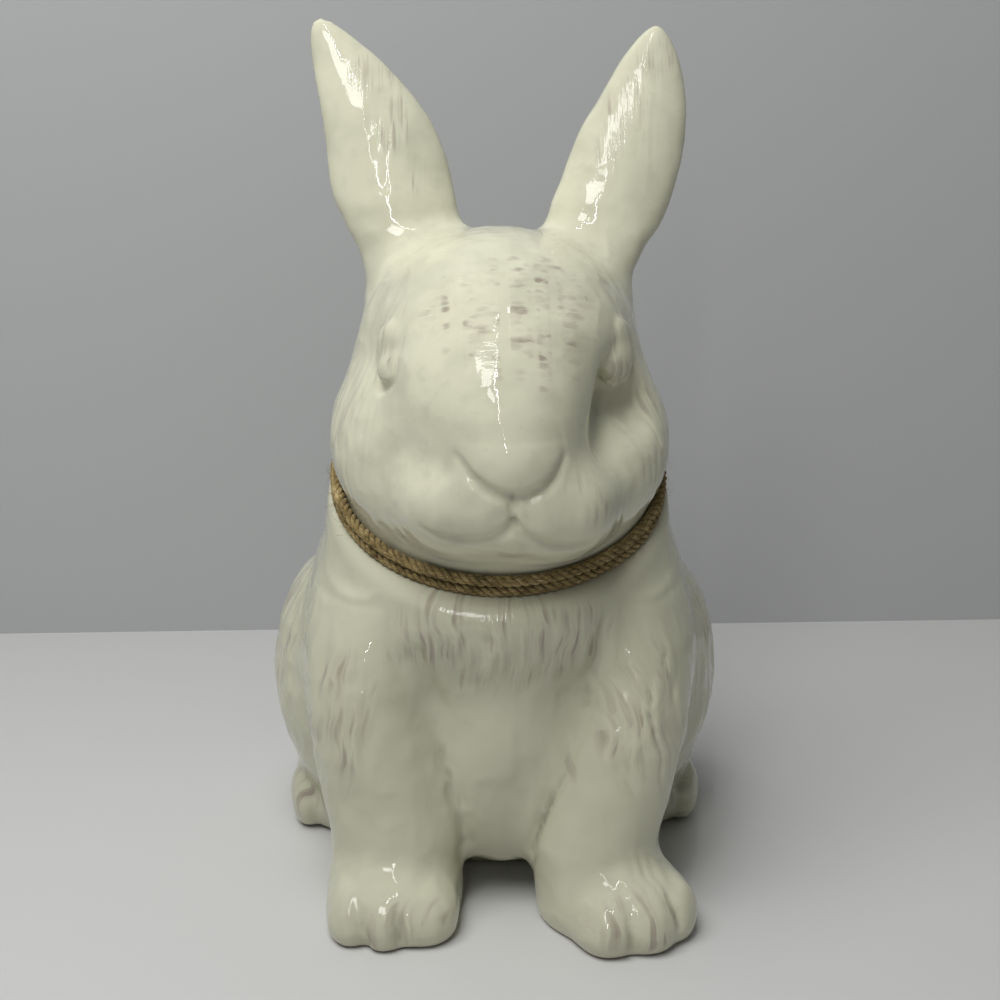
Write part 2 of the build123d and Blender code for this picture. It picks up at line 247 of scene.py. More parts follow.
# Twisted rope: strands wound round a route, each with its own twist of yarn
def twistedRope():
    g, given = newGroup("twistedRope", "GeometryNodeTree", {"Geometry": "Geometry"}, {
        "Geometry": "Geometry", "Strands": "Int", "Lay": "Float", "Strand Radius": "Float",
        "Winding Radius": "Float", "Yarn Lay": "Float", "Unevenness": "Float", "Step": "Float",
        "Fray From": "Float", "Fray Spread": "Float", "Seed": "Float", "Material": "Material",
    })
    fullTurn, driftScale, strandShift, notch = 2 * math.pi, 260, 7.3, -0.2
    curve = node(g, "GeometryNodeMeshToCurve", {"Mesh": given["Geometry"]})
    even = node(g, "GeometryNodeResampleCurve", {"Curve": curve, "Length": given["Step"]}, mode="LENGTH")
    copies = node(g, "GeometryNodeDuplicateElements", {
        "Geometry": even, "Amount": given["Strands"],
    }, domain="SPLINE")
    number = copies.outputs["Duplicate Index"]
    along = node(g, "GeometryNodeSplineParameter").outputs["Length"]
    turns = plus(g, calc(g, "DIVIDE", along, given["Lay"]), calc(g, "DIVIDE", number, given["Strands"]))
    angle = times(g, turns, fullTurn)
    place = joinXYZ(g, times(g, along, driftScale), times(g, number, strandShift), given["Seed"])
    drift = node(g, "ShaderNodeTexNoise", {"Vector": place, "Scale": 1.0, "Detail": 2.0})
    uneven = times(g, calc(g, "SUBTRACT", drift, 0.5), given["Unevenness"])
    uneven = plus(g, times(g, uneven, 2), 1)
    pastFray = calc(g, "MAXIMUM", calc(g, "SUBTRACT", along, given["Fray From"]), 0)
    reach = plus(g, times(g, given["Winding Radius"], uneven), times(g, pastFray, given["Fray Spread"]))
    tangent = node(g, "GeometryNodeInputTangent")
    normal = node(g, "GeometryNodeInputNormal")
    sideways = vectorCalc(g, "CROSS_PRODUCT", tangent, normal)
    offset = vectorCalc(
        g, "ADD",
        vectorCalc(g, "SCALE", normal, scale=times(g, calc(g, "COSINE", angle), reach)),
        vectorCalc(g, "SCALE", sideways, scale=times(g, calc(g, "SINE", angle), reach)),
    )
    kept = keep(g, keep(g, copies, "along", along), "strand", number)
    wound = node(g, "GeometryNodeSetPosition", {"Geometry": kept, "Offset": offset})
    tilt = times(g, calc(g, "DIVIDE", along, given["Yarn Lay"]), -fullTurn)
    tilted = node(g, "GeometryNodeSetCurveTilt", {"Curve": wound, "Tilt": tilt})
    # a notched ring gives each strand its yarns
    ring = node(g, "GeometryNodeCurvePrimitiveCircle", {"Resolution": 12, "Radius": 1.0}, mode="RADIUS")
    odd = calc(g, "MODULO", node(g, "GeometryNodeInputIndex"), 2)
    position = node(g, "GeometryNodeInputPosition")
    groove = vectorCalc(g, "SCALE", position, scale=times(g, odd, notch))
    notched = node(g, "GeometryNodeSetPosition", {"Geometry": ring, "Offset": groove})
    around = keep(g, notched, "around", node(g, "GeometryNodeSplineParameter").outputs["Factor"])
    tube = node(g, "GeometryNodeCurveToMesh", {
        "Curve": tilted, "Profile Curve": around, "Fill Caps": True,
        "Scale": times(g, given["Strand Radius"], uneven),
    })
    smooth = node(g, "GeometryNodeSetShadeSmooth", {"Geometry": tube})
    dressed = node(g, "GeometryNodeSetMaterial", {"Geometry": smooth, "Material": given["Material"]})
    return closeGroup(g, dressed)


# Fuzz: loose fibres that stand out of the yarn
def looseFibres():
    g, given = newGroup("looseFibres", "GeometryNodeTree", {"Geometry": "Geometry"}, {
        "Geometry": "Geometry", "Density": "Float", "Length": "Float", "Thickness": "Float",
        "Lean": "Float", "Seed": "Int", "Material": "Material",
    })
    length, lean, seed = given["Length"], given["Lean"], given["Seed"]
    shortest, otherSeed = 0.35, 9
    spots = node(g, "GeometryNodeDistributePointsOnFaces", {
        "Mesh": given["Geometry"], "Density": given["Density"], "Seed": seed,
    })
    hair = node(g, "GeometryNodeCurvePrimitiveBezierSegment", {
        "Resolution": 6, "Start": (0, 0, -0.05), "Start Handle": (0.05, 0, 0.35),
        "End Handle": (0.45, 0.12, 0.55), "End": (1.0, 0.3, 0.42),
    }, mode="POSITION")
    long = node(g, "GeometryNodeTransform", {
        "Geometry": hair, "Scale": joinXYZ(g, length, length, length),
    })
    thin = node(g, "GeometryNodeCurvePrimitiveCircle", {
        "Resolution": 3, "Radius": given["Thickness"],
    }, mode="RADIUS")
    solid = node(g, "GeometryNodeCurveToMesh", {
        "Curve": long, "Profile Curve": thin, "Fill Caps": True,
    })
    back = times(g, lean, -1)
    turn = node(g, "FunctionNodeRandomValue", {
        0: joinXYZ(g, back, back, 0.0), 1: joinXYZ(g, lean, lean, 2 * math.pi), "Seed": seed,
    }, data_type="FLOAT_VECTOR")
    asTurn = node(g, "FunctionNodeEulerToRotation", {0: turn})
    turned = node(g, "FunctionNodeRotateRotation", {
        "Rotation": spots.outputs["Rotation"], "Rotate By": asTurn,
    }, rotation_space="LOCAL")
    size = node(g, "FunctionNodeRandomValue", {
        2: shortest, 3: 1.0, "Seed": plus(g, seed, otherSeed),
    }, data_type="FLOAT")
    placed = node(g, "GeometryNodeInstanceOnPoints", {
        "Points": spots.outputs["Points"], "Instance": solid,
        "Rotation": turned, "Scale": size.outputs[1],
    })
    real = node(g, "GeometryNodeRealizeInstances", {"Geometry": placed})
    dressed = node(g, "GeometryNodeSetMaterial", {"Geometry": real, "Material": given["Material"]})
    return closeGroup(g, dressed)


jute = bpy.data.materials.new("jute")
ropeNodes, fibreNodes = twistedRope(), looseFibres()
# in metres
twist = {
    "Strands": 3, "Lay": 0.0105, "Strand Radius": 0.00116, "Winding Radius": 0.00127,
    "Yarn Lay": 0.0075, "Unevenness": 0.16, "Step": 0.00062, "Fray From": 10.0, "Fray Spread": 0.0,
}
frayed = {"Fray From": 0.022, "Fray Spread": 0.09}  # at the ends of the tails
fuzz = {"Density": 80000.0, "Length": 0.0048, "Thickness": 0.00005, "Lean": 1.0}


def twisted(name, line, seed, **changes):
    strands = {**twist, "Seed": seed, "Material": jute, **changes}
    piece = applyNodes(name, ropeNodes, lineMesh(name + "Line", line), strands)
    hairs = {**fuzz, "Seed": int(seed), "Material": jute}
    fibres = applyNodes(name + "Fuzz", fibreNodes, piece.data.copy(), hairs)
    for made in (piece, fibres):
        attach(made, "root")
    print(name, len(piece.data.polygons), "faces and", len(fibres.data.polygons), "in its fibres")
    return piece, fibres


neckRope, neckFuzz = twisted("neckRope", ringLine, 1.0)
knotRope, knotFuzz = twisted("knotRope", knotLine, 4.0)
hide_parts("neck_rope")
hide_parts("rope_knot")
for number, (name, line) in enumerate(tailLines.items()):
    tail, tailFuzz = twisted(name + "RopeTail", line, 7.0 + number, **frayed)
    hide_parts(name + "_rope_tail")
print("rope tied")


# Clay: forms are blended into a field of distances, which is then skinned
farAway, settleRounds = 60.0, 8


def softMin(a, b, k):
    h = np.clip(0.5 + 0.5 * (b - a) / k, 0, 1)
    return b + (a - b) * h - k * h * (1 - h)


def softMax(a, b, k):
    return -softMin(-a, -b, k)


def through(at, table, column):
    # a smooth line through a table's rows, without overshoot
    xs = np.array([row[0] for row in table], float)
    ys = np.array([row[column] for row in table], float)
    steps = np.diff(xs)
    slopes = np.diff(ys) / steps
    ways = np.zeros(len(xs))
    for i in range(1, len(xs) - 1):
        if slopes[i - 1] * slopes[i] > 0:
            before, after = 2 * steps[i] + steps[i - 1], steps[i] + 2 * steps[i - 1]
            ways[i] = (before + after) / (before / slopes[i - 1] + after / slopes[i])
    ways[0], ways[-1] = slopes[0], slopes[-1]
    at = np.clip(at, xs[0], xs[-1])
    i = np.clip(np.searchsorted(xs, at) - 1, 0, len(xs) - 2)
    t = (at - xs[i]) / steps[i]
    return (
        ys[i] * (1 + 2 * t) * (1 - t) ** 2 + ways[i] * steps[i] * t * (1 - t) ** 2
        + ys[i + 1] * t * t * (3 - 2 * t) + ways[i + 1] * steps[i] * t * t * (t - 1)
    )


def mixCorners(t, valueAt):
    # the values at the eight corners of each point's cell, mixed by its place in it
    value = 0
    for dx in (0, 1):
        for dy in (0, 1):
            for dz in (0, 1):
                share = (
                    (t[:, 0] if dx else 1 - t[:, 0]) * (t[:, 1] if dy else 1 - t[:, 1])
                    * (t[:, 2] if dz else 1 - t[:, 2])
                )
                value = value + share * valueAt(dx, dy, dz)
    return value


class Clay:
    def __init__(self, low, high, voxel):
        self.low = np.array(low, float)
        self.voxel = voxel
        self.count = [int(math.ceil((high[i] - low[i]) / voxel)) + 1 for i in range(3)]
        self.axes = [self.low[i] + voxel * np.arange(self.count[i]) for i in range(3)]
        self.field = np.full(self.count, farAway, np.float32)

    def window(self, low, high):
        # the part of the field between two corners, with its coordinates
        cuts = []
        for i in range(3):
            start = max(0, int(math.floor((low[i] - self.low[i]) / self.voxel)))
            stop = min(self.count[i], int(math.ceil((high[i] - self.low[i]) / self.voxel)) + 1)
            if stop - start < 3:
                return None
            cuts.append(slice(start, stop))
        places = np.ix_(*(axis[cut] for axis, cut in zip(self.axes, cuts)))
        return tuple(cuts), *(axis.astype(np.float32) for axis in places)

    def shape(self, form, blend, join):
        low, high, measure = form
        reach = blend + 3 * self.voxel
        found = self.window([v - reach for v in low], [v + reach for v in high])
        if found:
            cuts, x, y, z = found
            self.field[cuts] = join(self.field[cuts], measure(x, y, z, self.voxel), blend)

    def add(self, form, blend):
        self.shape(form, blend, softMin)

    def carve(self, form, blend):
        self.shape(form, blend, lambda field, other, k: softMax(field, -other, k))

    def sample(self, points):
        # the field at places between its points
        p = (points - self.low) / self.voxel
        p = np.clip(p, 0, np.array(self.count) - 1.001)
        i = p.astype(int)
        t = p - i
        return mixCorners(t, lambda dx, dy, dz: self.field[i[:, 0] + dx, i[:, 1] + dy, i[:, 2] + dz])

    def slope(self, points):
        step = self.voxel
        parts = []
        for i in range(3):
            shift = np.zeros(3)
            shift[i] = step
            parts.append((self.sample(points + shift) - self.sample(points - shift)) / (2 * step))
        return np.stack(parts, 1)

    def settle(self, points):
        # points near the surface are moved onto it
        points = np.array(points, float)
        for _ in range(settleRounds):
            way = self.slope(points)
            size = np.maximum((way**2).sum(1), 0.05)
            points = points - way * (self.sample(points) / size)[:, None]
        return points

    def score(self, points, radii, blend):
        # a crease drawn along the surface
        self.carve(limb(self.settle(points), radii), blend)

    def skin(self):
        grid = openvdb.FloatGrid()
        grid.copyFromArray(self.field.astype(float))
        grid.transform = openvdb.createLinearTransform(voxelSize=self.voxel)
        points, quads = grid.convertToQuads(isovalue=0)
        points = np.array(points, float) + self.low
        quads = np.array(quads, int)
        a, b, c, d = (points[quads[:, i]] for i in range(4))
        turned = (np.cross(c - a, d - b) * (a + b + c + d)).sum() < 0
        return points, quads[:, ::-1] if turned else quads


def evenOut(value, voxel):
    parts = np.gradient(value, voxel)
    size = np.sqrt(parts[0] ** 2 + parts[1] ** 2 + parts[2] ** 2)
    return np.clip(value / np.maximum(size, 0.004), -40, farAway).astype(np.float32)


def egg(centre, halves, turn=(0, 0, 0)):
    # a form is the corners of the box round it and a measure of distance, below 0 inside it
    grid = np.array(Euler([math.radians(v) for v in turn]).to_matrix())
    reach = [math.sqrt(sum((grid[i][j] * halves[j]) ** 2 for j in range(3))) for i in range(3)]

    def measure(x, y, z, _):
        p = (x - centre[0], y - centre[1], z - centre[2])
        away, steep = 0, 0
        for j in range(3):
            along = grid[0][j] * p[0] + grid[1][j] * p[1] + grid[2][j] * p[2]
            away = away + (along / halves[j]) ** 2
            steep = steep + (along / halves[j] ** 2) ** 2
        away = np.sqrt(away)
        return away * (away - 1) / np.maximum(np.sqrt(steep), 1e-5)

    low = [centre[i] - reach[i] for i in range(3)]
    high = [centre[i] + reach[i] for i in range(3)]
    return low, high, measure


def limb(points, radii):
    points = [tuple(float(v) for v in p) for p in points]
    largest = max(radii)
    low = [min(p[i] for p in points) - largest for i in range(3)]
    high = [max(p[i] for p in points) + largest for i in range(3)]

    def measure(x, y, z, _):
        best = None
        for (a, b), (ra, rb) in zip(zip(points, points[1:]), zip(radii, radii[1:])):
            run = [b[i] - a[i] for i in range(3)]
            size = sum(v * v for v in run)
            t = ((x - a[0]) * run[0] + (y - a[1]) * run[1] + (z - a[2]) * run[2]) / size
            t = np.clip(t, 0, 1)
            away = np.sqrt(
                (x - a[0] - t * run[0]) ** 2 + (y - a[1] - t * run[1]) ** 2
                + (z - a[2] - t * run[2]) ** 2
            ) - (ra + (rb - ra) * t)
            best = away if best is None else np.minimum(best, away)
        return best

    return low, high, measure


def stack(rows):
    # level ovals: height, middle x, half width, front y, back y
    low = [min(r[1] - r[2] for r in rows), min(r[3] for r in rows), rows[0][0]]
    high = [max(r[1] + r[2] for r in rows), max(r[4] for r in rows), rows[-1][0]]

    def measure(x, y, z, voxel):
        level = z.ravel()
        middle, half, front, back = (through(level, rows, column) for column in range(1, 5))
        deep = (back - front) / 2
        across = (x - middle) / half
        along = (y - (front + back) / 2) / deep
        value = np.sqrt(across**2 + along**2) - 1
        value = evenOut(value.astype(np.float32), voxel)
        return np.maximum(value, np.maximum(rows[0][0] - z, z - rows[-1][0]))

    return low, high, measure


# Body: the rows give height, middle x, half width, front y and back y
torsoRows = [
    (-6, 0, 68, -11, 73), (0, 0, 71.5, -14.5, 76), (14, 0, 79.2, -19.5, 83.7),
    (37, 0, 85, -29, 88.6), (68, 0, 87, -44.2, 90), (99, 0, 84, -57.5, 86.4),
    (128, 0, 78, -65.5, 81), (152, 0, 71.6, -65.5, 74.7), (177, 0, 69.5, -60.5, 70.5),
    (212, 0, 66, -50, 66),
]
# the right leg and paw are at the viewer's left
legRows = {
    "right": [
        (-6, -44, 24.5, -74, -22), (14, -44, 25.5, -73, -24), (30, -43.5, 26.5, -72, -24),
        (50, -46.5, 27.2, -70, -18), (70, -50.5, 26.5, -68, -10), (92, -54, 24.5, -63, 0),
        (112, -55, 20, -55, 4), (128, -54, 10, -44, -4),
    ],
    "left": [
        (-6, 38, 24, -84, -32), (14, 37, 24.8, -84, -32), (30, 36.5, 25.5, -82, -30),
        (50, 41, 26.2, -78, -22), (70, 46.5, 26.6, -73, -12), (92, 51.5, 24.6, -66, -2),
        (112, 54, 20, -57, 4), (128, 54, 10, -46, -4),
    ],
}
# eggs: middle, half lengths and a turn in degrees where they have one
paws = {
    "right": {
        "pad": ((-44.8, -58, 9), (26.4, 32, 20.5), (0, 0, -3)),
        "toes": [
            ((-61.5, -71, 7), (9.6, 16.5, 13.5)), ((-48.8, -74.5, 7), (10, 17, 14)),
            ((-32.5, -71, 7.5), (13.8, 18, 14.5)),
        ],
        "creases": [
            [(-60, -84, 20.5), (-58.2, -88, 15), (-56.4, -89, 7), (-56, -87, 1)],
            [(-42.2, -88, 19), (-41.4, -91, 13), (-41.2, -90, 4)],
        ],
    },
    "left": {
        "pad": ((45.7, -67, 9), (26.8, 32.5, 21), (0, 0, 14)),
        "toes": [
            ((38.5, -82.5, 7.5), (13, 18.5, 14.5)), ((55.5, -81, 8), (10.8, 17, 14)),
            ((66.8, -75, 9), (8.6, 14.5, 13)),
        ],
        "creases": [
            [(46.2, -96, 20), (46.6, -99, 14), (47.5, -97, 4)],
            [(62.2, -86, 23), (63.6, -89, 18), (65.4, -88, 9)],
        ],
    },
}
# folds beside the belly: a line and its radius at each point, below 0 where the groove is faint
bodyFolds = [
    ([(-34, -62, 112), (-29.4, -66, 95.7), (-23.4, -64, 69.6), (-17, -60, 45), (-14, -60, 29)],
     [-2.2, -1.8, -1.6, -1.6, -2]),
    ([(40, -62, 122), (30.8, -66, 94.6), (21.4, -66, 65.4), (11, -60, 28)], [-2.2, -1, -0.6, -1.8]),
]
# middle, half lengths and how far the form blends; what both sides have is given for the left
bodyForms = {
    "haunch": ((60, 40, 72), (38, 50, 58), 10), "shoulder": ((50, -20, 96), (28, 33, 38), 14),
    "chest": ((0, -34, 122), (48, 32, 34), 12), "belly": ((-0.5, -37, 64), (33, 24.5, 50), 13),
    "hindFoot": ((71, 55, 12), (21, 41, 21), 5), "tail": ((0, 83, 42), (19.5, 17, 19.5), 4),
}
hindToes = {"halves": (8.4, 15, 15.5), "z": 13, "places": [(-13, 33), (0, 29), (13, 33)], "blend": 2.5}
drain = {"y": 38, "radius": 12, "dome": ((0, 38, 22), (30, 26, 19))}
blends = {
    "leg": 9, "fold": 9, "pad": 7, "toe": 4, "toeCrease": 3, "bodyRim": 5, "headRim": 2,
    "valley": 24, "ear": 13, "earChannel": 2.5, "faceCrease": 2.4, "eyeCrease": 1.8, "neck": 2.5,
}
rims = {"body": 4.6, "head": 5.2}  # where each casting ends, past the middle of the neck
toeCreaseRadii = [0.3, 1, 1.3, 1.3]


def fromNeck(clay, way):
    # how far each place in the clay is from the middle of the neck, along a direction
    _, y, z = np.ix_(*clay.axes)
    return y * way.y + (z - neck["z"]) * way.z


def addForm(clay, name, side=1):
    (x, y, z), halves, blend = bodyForms[name]
    clay.add(egg((side * x, y, z), halves), blend)


def shapeBody(clay):
    clay.add(stack(torsoRows), 1)
    for side in (-1, 1):
        addForm(clay, "haunch", side)
        addForm(clay, "shoulder", side)
    addForm(clay, "chest")
    for rows in legRows.values():
        clay.add(stack(rows), blends["leg"])
    addForm(clay, "belly")
    for line, radii in bodyFolds:
        clay.score(line, radii, blends["fold"])
    above = (fromNeck(clay, neckUp) + rims["body"]).astype(np.float32)
    clay.field = softMax(clay.field, above, blends["bodyRim"])
    for paw in paws.values():
        clay.add(egg(*paw["pad"]), blends["pad"])
        for toe in paw["toes"]:
            clay.add(egg(*toe), blends["toe"])
        for line in paw["creases"]:
            clay.score(line, toeCreaseRadii[: len(line)], blends["toeCrease"])
    for side in (-1, 1):
        addForm(clay, "hindFoot", side)
        for across, y in hindToes["places"]:
            place = (side * bodyForms["hindFoot"][0][0] + across, y, hindToes["z"])
            clay.add(egg(place, hindToes["halves"]), hindToes["blend"])
    addForm(clay, "tail")
    clay.carve(egg(*drain["dome"]), 1)
    clay.carve(limb([(0, drain["y"], -20), (0, drain["y"], 14)], [drain["radius"]] * 2), 1.5)


# Head: lists of eggs, each list with how far they blend, in the order in which they are put on
headForms = {
    "jaw": ([((0, -8, 186.3), (67, 68, 41.5), (23.6, 0, 2))], 1),
    "skull": ([((0, 2, 219), (57.5, 59, 51.5), (0, 0, 2))], 16),
    "brow": ([((0.8, -30, 233), (42, 37, 27), (30, 0, 2))], 12),
    "cheeks": ([
        ((-39.5, -25, 189), (22, 37, 27), (10, 0, 20)), ((41.5, -20.5, 187), (21, 33.5, 26), (10, 0, -20)),
        ((-27, -47, 203), (16, 20, 28), (20, 0, 12)),
    ], 12),
    "chin": ([((1.5, -50, 165), (30, 22, 14))], 8),
}
# the hollow from the eye down beside the bridge of the nose, on the viewer's right
valleys = [
    ([(46, -42, 212), (40, -54, 204), (36.5, -62, 194), (33, -66.5, 188)], [1.4, 0.8, 0.2, -1.5]),
    ([(42, -45, 210), (51, -36, 206)], [-0.5, -0.5]),
]
faceForms = {
    "lobes": ([
        ((-17.6, -61, 174.6), (21.6, 22.6, 17.8), (0, 0, -12)),
        ((19.6, -60.5, 172.8), (21.8, 22.8, 19.4), (0, 0, 14)),
    ], 13),
    "upperLips": ([
        ((-7, -71, 175), (11.8, 13.2, 13.8)), ((10.2, -70.6, 174.2), (11.8, 13.4, 14.6)),
    ], 8),
    "philtrum": ([((1.8, -72, 171.8), (7.5, 10.4, 15))], 4),
    "bridge": ([((0.4, -56, 213.5), (28.5, 37, 22), (46, 0, 2))], 18),
    "nose": ([((2.2, -71.5, 191.6), (17.2, 16.8, 15.2), (0, 0, 2))], 5),
    "lowerLip": ([((3, -70.5, 164.6), (8.5, 9, 5.6))], 4),
    "eyes": ([
        ((-40.6, -41, 220.2), (7.4, 8.9, 8.4), (10, -6, 34)),
        ((-42.3, -36.7, 229), (4.6, 7.8, 9.4), (10, -6, 34)),
        ((44.4, -34.4, 221), (5.2, 8.9, 8.4), (10, 6, -34)),
        ((45, -31.8, 229), (4.2, 7.3, 9.2), (10, 6, -34)),
    ], 3.5),
}
# below the nose, the groove of the lip, and the mouth at both sides
faceCreases = [
    ([(-16, -76, 197), (-14, -78, 193.6), (-11.6, -80, 190), (-8.2, -82, 186.6),
      (-3.8, -84, 183.4), (1.8, -85.5, 181.8), (7, -84.5, 182.4), (12, -82.5, 185.2),
      (16, -80, 189.6), (18.8, -77, 195)],
     [0.3, 0.9, 1.5, 1.9, 2.2, 2.3, 2.3, 2.1, 1.6, 0.6]),
    ([(1.4, -85, 181.6), (1.4, -84.5, 179), (1.5, -84.5, 176), (1.7, -84, 172.5), (1.7, -83, 169.5)],
     [0.8, 1, 1.1, 1, 0.8]),
    ([(1.6, -83, 171.5), (-1.8, -82, 167.6), (-7, -81.5, 165), (-13, -80.5, 163.6),
      (-19, -79.5, 163.6), (-25, -77.5, 165.2), (-30.5, -75, 168.6)],
     [0.9, 1.5, 1.9, 2, 1.9, 1.5, 0.6]),
    ([(2, -83, 172.5), (5, -82.5, 167.6), (9.5, -81.5, 164.2), (15.7, -80, 161.4),
      (23.3, -77, 160.6), (31.2, -72, 163.4)],
     [0.9, 1.6, 2, 2.1, 1.9, 0.8]),
]
eyeCreases = [
    ([(-42.4, -35, 236), (-44.3, -36, 231.6), (-45.9, -37, 224.6), (-45.4, -39, 219.4),
      (-43.6, -42, 215.6), (-40.8, -44.5, 213.8), (-37.4, -47, 214.2), (-34.6, -49.5, 216.4)],
     [0.3, 1.2, 2, 2.3, 2.3, 2.2, 1.6, 0.4]),
    ([(47.4, -31, 233), (49, -31, 226), (48.6, -33, 219), (45.4, -37.5, 213.6),
      (41.4, -42, 213)],
     [0.3, 1.2, 1.6, 1.9, 0.8]),
]
# rows as in the body
ears = {
    "right": [
        (236, -34, 15, 2, 30), (251, -35, 18.5, 5, 36), (259, -36.2, 20.5, 9, 37),
        (267, -38, 22.8, 12, 38.5), (273, -39.6, 24.1, 14.5, 39.5), (279, -41.4, 25, 16.5, 40.5),
        (287, -43.2, 25.2, 19.5, 42), (295, -44.6, 24.7, 22, 43.5), (303, -46.4, 23.7, 24.5, 45),
        (311, -48.9, 22.2, 27, 46.5), (319, -52.3, 20, 30, 47.8), (327, -56.5, 17.2, 33.4, 49),
        (335, -61, 13.8, 37, 49.8), (342, -65.6, 9.8, 40.5, 50.4), (347, -68.8, 6.2, 43, 50.4),
        (350.2, -70.8, 2.6, 45.4, 49.4), (351.2, -71.2, 0.6, 46.8, 48.4),
    ],
    "left": [
        (236, 38, 15, 2, 30), (250, 38.6, 18.2, 4.5, 36), (258, 41, 20.4, 8.5, 37),
        (266, 44, 22.8, 12, 38.5), (272, 45.9, 24.1, 14.5, 39.5), (278, 47.9, 24.6, 16.5, 40.5),
        (286, 51, 24.2, 19.2, 42), (294, 53.7, 23.8, 21.8, 43.5), (302, 56.1, 22.9, 24.4, 45),
        (310, 58.5, 21.2, 27, 46.5), (318, 61.2, 18.5, 30, 47.8), (326, 63.2, 15.6, 33.2, 49),
        (334, 64.8, 12.2, 36.8, 49.8), (340, 66, 8.8, 40, 50), (344.5, 66.8, 5.4, 42.6, 49.8),
        (347.2, 67.2, 2.4, 44.6, 49), (348.2, 67.3, 0.6, 46.2, 47.6),
    ],
}
earChannels = {
    "right": ((-68, 38.5, 296), (25, 5.2, 40), (-14.9, -18.8, 8)),
    "left": ((78, 38.5, 296), (25, 5.2, 40), (-14.9, 15.5, -8)),
}


def addEggs(clay, forms):
    for eggs, blend in forms.values():
        for form in eggs:
            clay.add(egg(*form), blend)


def shapeHead(clay):
    addEggs(clay, headForms)
    for line, radii in valleys:
        clay.carve(limb(clay.settle(line), radii), blends["valley"])
    addEggs(clay, faceForms)
    below = (rims["head"] - fromNeck(clay, neckUp)).astype(np.float32)
    clay.field = softMax(clay.field, below, blends["headRim"])
    for name, rows in ears.items():
        clay.add(stack(rows), blends["ear"])
        clay.carve(egg(*earChannels[name]), blends["earChannel"])
    for line, radii in faceCreases:
        clay.score(line, radii, blends["faceCrease"])
    for line, radii in eyeCreases:
        clay.score(line, radii, blends["eyeCrease"])


def joinAtNeck(clay, side):
    # a round band for the rope to lie on, cut off at the neck; side is 1 for the body and -1 for the head
    along = fromNeck(clay, neckUp)
    across = clay.axes[0][:, None, None]
    band = np.sqrt(across**2 + fromNeck(clay, neckBack) ** 2) - neck["radius"]
    band = np.maximum(band, np.abs(along) - neck["band"]).astype(np.float32)
    clay.field = softMin(clay.field, band, blends["neck"])
    clay.field = np.maximum(clay.field, (along * side).astype(np.float32))


def smoothed(points, quads, rounds, share):
    # each point moves part of the way to the middle of its neighbours
    pairs = np.concatenate([quads[:, [0, 1]], quads[:, [1, 2]], quads[:, [2, 3]], quads[:, [3, 0]]])
    ends = np.concatenate([pairs, pairs[:, ::-1]])
    count = np.bincount(ends[:, 0], minlength=len(points))
    for _ in range(rounds):
        middle = np.stack([
            np.bincount(ends[:, 0], points[ends[:, 1], i], len(points)) for i in range(3)
        ], 1)
        points = points + share * (middle / count[:, None] - points)
    return points


def normalsOf(points, quads):
    a, b, c, d = (points[quads[:, i]] for i in range(4))
    face = np.cross(c - a, d - b)
    total = np.stack([
        sum(np.bincount(quads[:, k], face[:, i], len(points)) for k in range(4)) for i in range(3)
    ], 1)
    return total / np.maximum(np.linalg.norm(total, axis=1), 1e-9)[:, None]


# Relief: what the modelling tool left in the clay, moved into the mesh itself
def chance(i, j, k, seed):
    # a seeded number from -1 to 1 for each cell, by an integer hash
    n = (i * 73856093) ^ (j * 19349663) ^ (k * 83492791) ^ (seed * 2654435)
    n = n & 0x7FFFFFFF
    n = (n ^ (n >> 13)) * 1274126177 & 0x7FFFFFFF
    n = (n ^ (n >> 16)) * 739981 & 0x7FFFFFFF
    return (n >> 7) / float(0x7FFFFFFF >> 8) - 1


def rolling(points, scale, seed):
    # smooth seeded noise from -1 to 1; the scale is one length or one for each axis
    p = points / np.array(scale, float)
    cell = np.floor(p).astype(np.int64)
    t = p - cell
    t = t * t * t * (t * (t * 6 - 15) + 10)
    return mixCorners(t, lambda dx, dy, dz: chance(cell[:, 0] + dx, cell[:, 1] + dy, cell[:, 2] + dz, seed))


def near(points, spots):
    # how much each point belongs to a set of spots, whose edges are soft
    rim, softness = 1.25, 0.8
    total = np.zeros(len(points))
    for centre, reach, strength in spots:
        away = np.sqrt((((points - np.array(centre)) / np.array(reach)) ** 2).sum(1))
        t = np.clip((rim - away) / softness, 0, 1)
        total = np.maximum(total, strength * t * t * (3 - 2 * t))
    return total


# how deep each kind of mark is, its size, and where it lies as centre, reach and strength
relief = {
    "lumps": 0.55, "dabs": 0.48, "tufts": 1, "dashes": 0.26, "faceCalm": 0.18,
    "lumpSizes": (19, 9), "dabSize": (8, 8, 13), "tuft": (3.4, 22), "fine": (1.9, 12),
    "face": [((2, -78, 196), (62, 52, 66), 1)],
    "combed": [
        ((-8, -66, 124), (46, 34, 26), 0.9), ((-66, -44, 82), (22, 36, 34), 1),
        ((54, -52, 82), (24, 34, 36), 1), ((-88, 30, 88), (20, 40, 44), 0.8),
        ((88, 30, 88), (20, 40, 44), 0.8), ((0, 78, 90), (60, 26, 60), 0.7),
        ((0, -58, 62), (30, 24, 32), 0.12), ((-44, -82, 20), (34, 30, 16), 0.35),
        ((48, -88, 22), (34, 30, 16), 0.35),
    ],
    "dashed": [((3, -42, 248), (40, 38, 22), 1), ((0, 30, 255), (40, 30, 20), 0.6)],
    "earsAndCheeks": [
        ((-44, 26, 315), (12, 22, 40), 0.2), ((56, 26, 318), (14, 22, 40), 0.2),
        ((-56, -20, 195), (22, 40, 34), 0.45), ((56, -18, 195), (22, 40, 34), 0.45),
        ((0, 52, 205), (50, 26, 44), 0.5),
    ],
}
